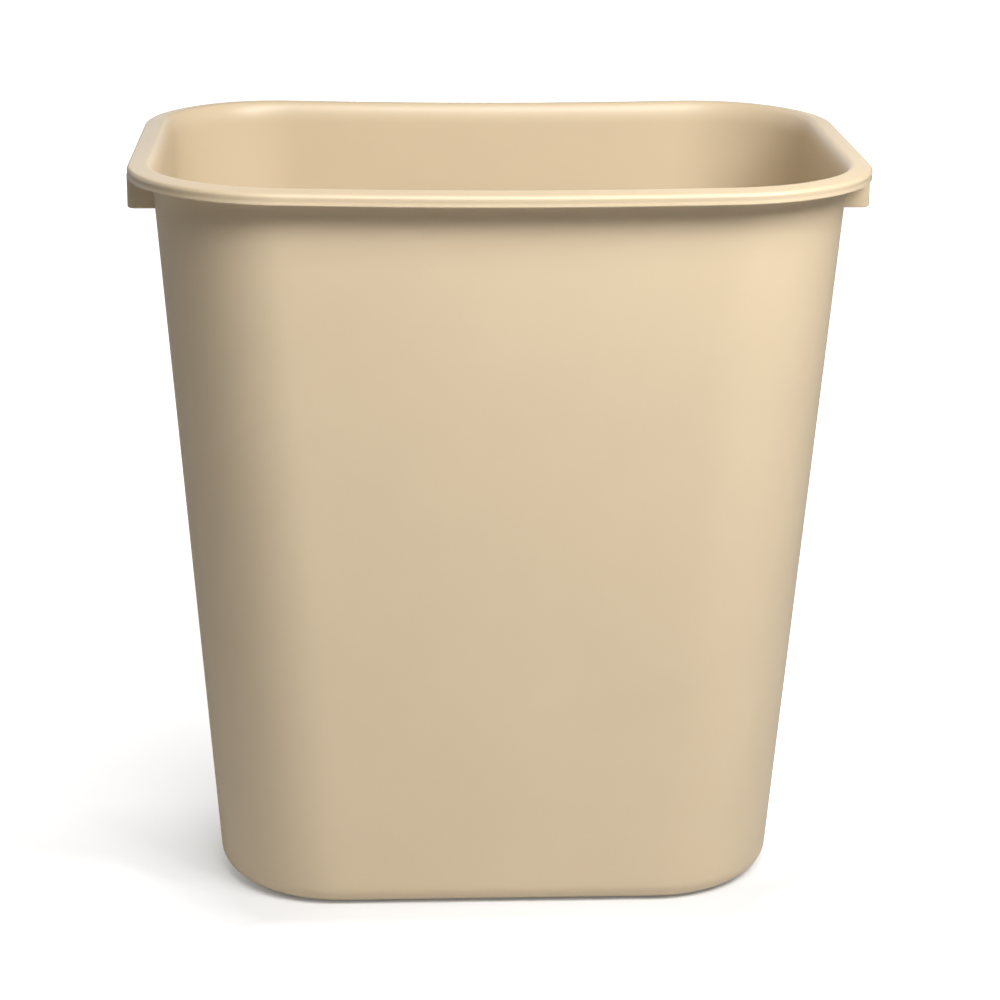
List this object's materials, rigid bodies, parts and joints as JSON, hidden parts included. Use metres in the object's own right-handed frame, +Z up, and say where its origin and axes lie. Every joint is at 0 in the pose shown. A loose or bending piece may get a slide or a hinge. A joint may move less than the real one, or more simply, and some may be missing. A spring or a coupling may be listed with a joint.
{
  "type": "wastebasket",
  "caption": "Rectangular deskside wastebasket with rounded corners, tapered sides, a rolled rim and a handgrip under each end of the rim.",
  "frame": {"origin": "on the ground, under the middle of the tub", "axes": "+Z up, X along the long sides with a handgrip at each end, -Y towards the side that faces the viewer"},
  "size_m": [0.3684, 0.2666, 0.381],
  "materials": {
    "moulded_plastic": "satin moulded polyethylene, beige"
  },
  "bodies": {
    "root": {"tub_wall": "moulded_plastic", "floor_pan": "moulded_plastic", "rolled_rim": "moulded_plastic", "left_handgrip": "moulded_plastic", "right_handgrip": "moulded_plastic"}
  },
  "joints": []
}
